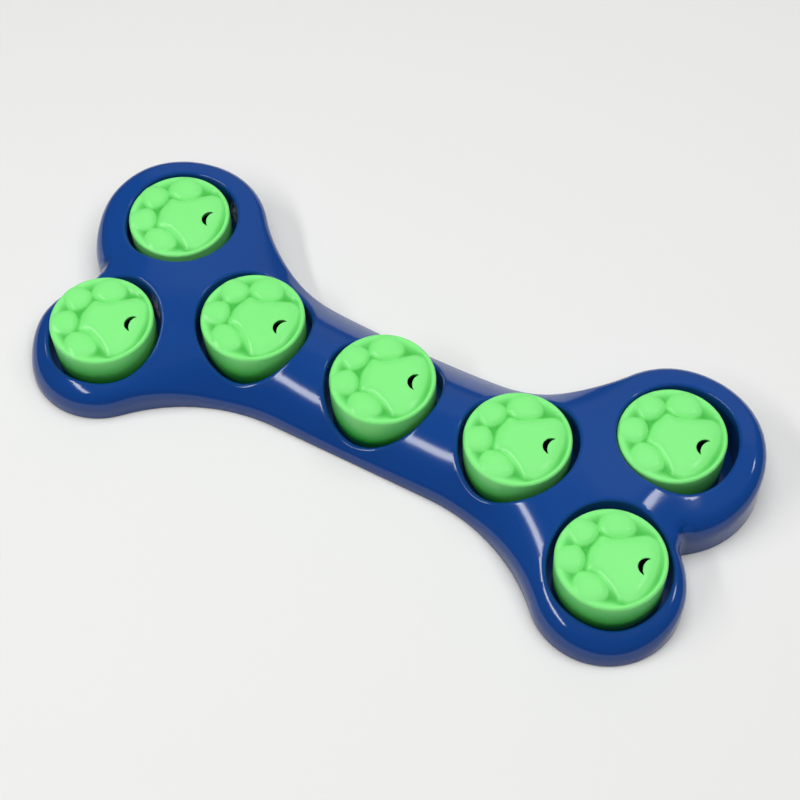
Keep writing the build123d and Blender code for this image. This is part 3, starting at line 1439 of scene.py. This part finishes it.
    def _press(
        self,
        blank: bpy.types.Mesh,
        tree: bpy.types.NodeTree,
        material: bpy.types.Material,
        rest: Rest,
        place: Vector,
    ) -> bpy.types.Mesh:
        """Run the tree on the blank for one lid and keep the result as a plain mesh.

        Args:
            blank: The plain lid.
            tree: The relief tree.
            material: The plastic.
            rest: How the lid lies.
            place: The middle of its foot, in metres.

        Returns:
            The lid's mesh, in place.
        """
        holder = link_object("lid_press", blank)
        modifier = holder.modifiers.new("paw_lid", "NODES")
        modifier.node_group = tree
        values = {
            "Relief": self.paw.height,
            "Swell": self.paw.swell,
            "Valley": self.paw.valley,
            "Pad Edge": self.paw.pad_edge,
            "Turn": math.radians(rest.turn),
            "Place": place,
            "Plastic": material,
        }
        for item in tree.interface.items_tree:
            if item.in_out == "INPUT" and item.name in values:
                modifier[item.identifier] = values[item.name]
        seen = holder.evaluated_get(bpy.context.evaluated_depsgraph_get())
        mesh = bpy.data.meshes.new_from_object(seen)
        mesh.name = f"{rest.name}_mesh"
        holder.modifiers.remove(modifier)
        bpy.data.objects.remove(holder)
        return mesh


# --------------------------------------------------------------------------------------------
# The feet
# --------------------------------------------------------------------------------------------


@dataclass
class Feet:
    """The eight rubber feet, which keep the shape of their solids."""

    prefix: str = "foot_"

    def dress(self, material: bpy.types.Material) -> None:
        """Give the feet their rubber.

        Args:
            material: The rubber.
        """
        for name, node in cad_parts.items():
            if name.startswith(self.prefix):
                node.data.materials.clear()
                node.data.materials.append(material)
                LOG.info("dressed %s", name)


# --------------------------------------------------------------------------------------------
# The studio
# --------------------------------------------------------------------------------------------


@dataclass(frozen=True)
class Softbox:
    """A flat studio light: where it stands, where it aims, its size in metres and its watts.

    A light that isn't mirrored only fills: glossy surfaces don't show it.
    """

    name: str
    place: tuple[float, float, float]
    aim: tuple[float, float, float]
    size: tuple[float, float]
    power: float
    mirrored: bool = True

    def build(self) -> bpy.types.Object:
        """Make the light."""
        data = bpy.data.lights.new(self.name, "AREA")
        data.shape = "RECTANGLE"
        data.size, data.size_y = self.size
        data.energy = self.power
        light = link_object(self.name, data)
        place = Vector(self.place)
        turn = (Vector(self.aim) - place).to_track_quat("-Z", "Y").to_matrix().to_4x4()
        light.matrix_world = turn
        light.visible_glossy = self.mirrored
        light.location = place
        return light


@dataclass
class Studio:
    """A pale floor, soft lights and the camera."""

    floor_colour: tuple[float, float, float] = (0.760, 0.763, 0.752)
    floor_roughness: float = 0.9
    floor_half: float = 4.0
    sky_colour: tuple[float, float, float, float] = (1.0, 1.0, 0.99, 1.0)
    ceiling_way: tuple[float, float, float] = (-0.2, 0.75, 0.63)
    ceiling_edge: tuple[float, float] = (0.82, 0.93)
    ceiling_bright: float = 0.34
    ceiling_dim: float = 0.09
    camera_place: tuple[float, float, float] = (0.2844, -0.4500, 0.8553)
    camera_turn: tuple[float, float, float] = (0.5604, 0.0257, 0.5065)
    lens: float = 81.6
    sensor: float = 36.0
    clip: tuple[float, float] = (0.01, 20.0)
    boxes: tuple[Softbox, ...] = (
        Softbox("key_strip", (-0.62, -0.56, 1.0), (0.0, 0.0, 0.0), (1.1, 0.14), 5.6),
        Softbox("rear_box", (0.60, 0.41, 1.08), (0.0, 0.0, 0.0), (0.16, 0.16), 0.9),
        Softbox("overhead_fill", (0.20, 0.10, 1.6), (0.0, 0.0, 0.0), (1.9, 1.6), 26.5, False),
    )

    def build(self) -> None:
        """Make the floor, the world, the lights and the camera."""
        self._floor()
        self._world()
        for box in self.boxes:
            box.build()
        self._camera()

    def _floor(self) -> None:
        """Make the floor, which is no part of the object."""
        reach = self.floor_half
        corners = [(-reach, -reach, 0), (reach, -reach, 0), (reach, reach, 0), (-reach, reach, 0)]
        mesh = bpy.data.meshes.new("studio_floor")
        mesh.from_pydata(corners, [], [(0, 1, 2, 3)])
        material, graph = new_material("pale_floor")
        graph.surface(
            {
                "Base Color": (*self.floor_colour, 1.0),
                "Roughness": self.floor_roughness,
                "Specular IOR Level": 0.0,
            }
        )
        mesh.materials.append(material)
        floor = link_object("studio_floor", mesh)

    def _world(self) -> None:
        """Light the scene from a ceiling that is brighter above the rear and dim to the front."""
        world = bpy.data.worlds.new("studio")
        graph = empty_graph(world)
        x, y, z = graph.split(graph.add("ShaderNodeTexCoord").outputs["Generated"])
        along, across, up = self.ceiling_way
        start, end = self.ceiling_edge
        share = ((x * along + y * across + z * up - start) / (end - start)).ease()
        strength = self.ceiling_dim + share * (self.ceiling_bright - self.ceiling_dim)
        sockets = {"Color": self.sky_colour, "Strength": strength}
        sky = graph.add("ShaderNodeBackground", sockets=sockets)
        graph.add("ShaderNodeOutputWorld", sockets={0: sky.outputs[0]})
        bpy.context.scene.world = world

    def _camera(self) -> None:
        """Make the camera."""
        data = bpy.data.cameras.new("camera")
        data.lens = self.lens
        data.sensor_width = self.sensor
        data.clip_start, data.clip_end = self.clip
        camera = link_object("camera", data)
        camera.location = self.camera_place
        camera.rotation_euler = self.camera_turn
        bpy.context.scene.camera = camera


BLUE = MouldedPlastic(
    name="blue_moulded_plastic",
    colour=(0.0036, 0.048, 0.236),
    pale=(0.0048, 0.054, 0.256),
    # Painted shade: a darker blue painted on the board's standing faces low down.
    wall=(0.0030, 0.038, 0.200),
    peel_height=0.000004,
    roughness=0.11,
    roughness_swing=0.03,
    specular=0.5,
)
GREEN = MouldedPlastic(
    name="green_moulded_plastic",
    colour=(0.205, 0.790, 0.205),
    pale=(0.235, 0.830, 0.235),
    # Painted shade: a deep green painted low on the lids' sides and in the paw's creases.
    wall=(0.003, 0.345, 0.010),
    painted_shade_foot=0.010,
    painted_shade_top=0.034,
    roughness=0.22,
    roughness_swing=0.05,
    specular=0.26,
)
RUBBER = SoftRubber(name="black_rubber")


def main() -> None:
    """Build every piece in order, then the studio."""
    logging.basicConfig(level=logging.INFO, format="%(name)s: %(message)s")
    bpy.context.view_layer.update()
    bpy.context.scene.view_settings.view_transform = "Standard"
    board = Board().build(BLUE.material())
    LOG.info("built %s: %d faces", board.name, len(board.data.polygons))
    Lids().build(GREEN.material())
    Feet().dress(RUBBER.material())
    Studio().build()


if __name__ == "__main__":
    main()
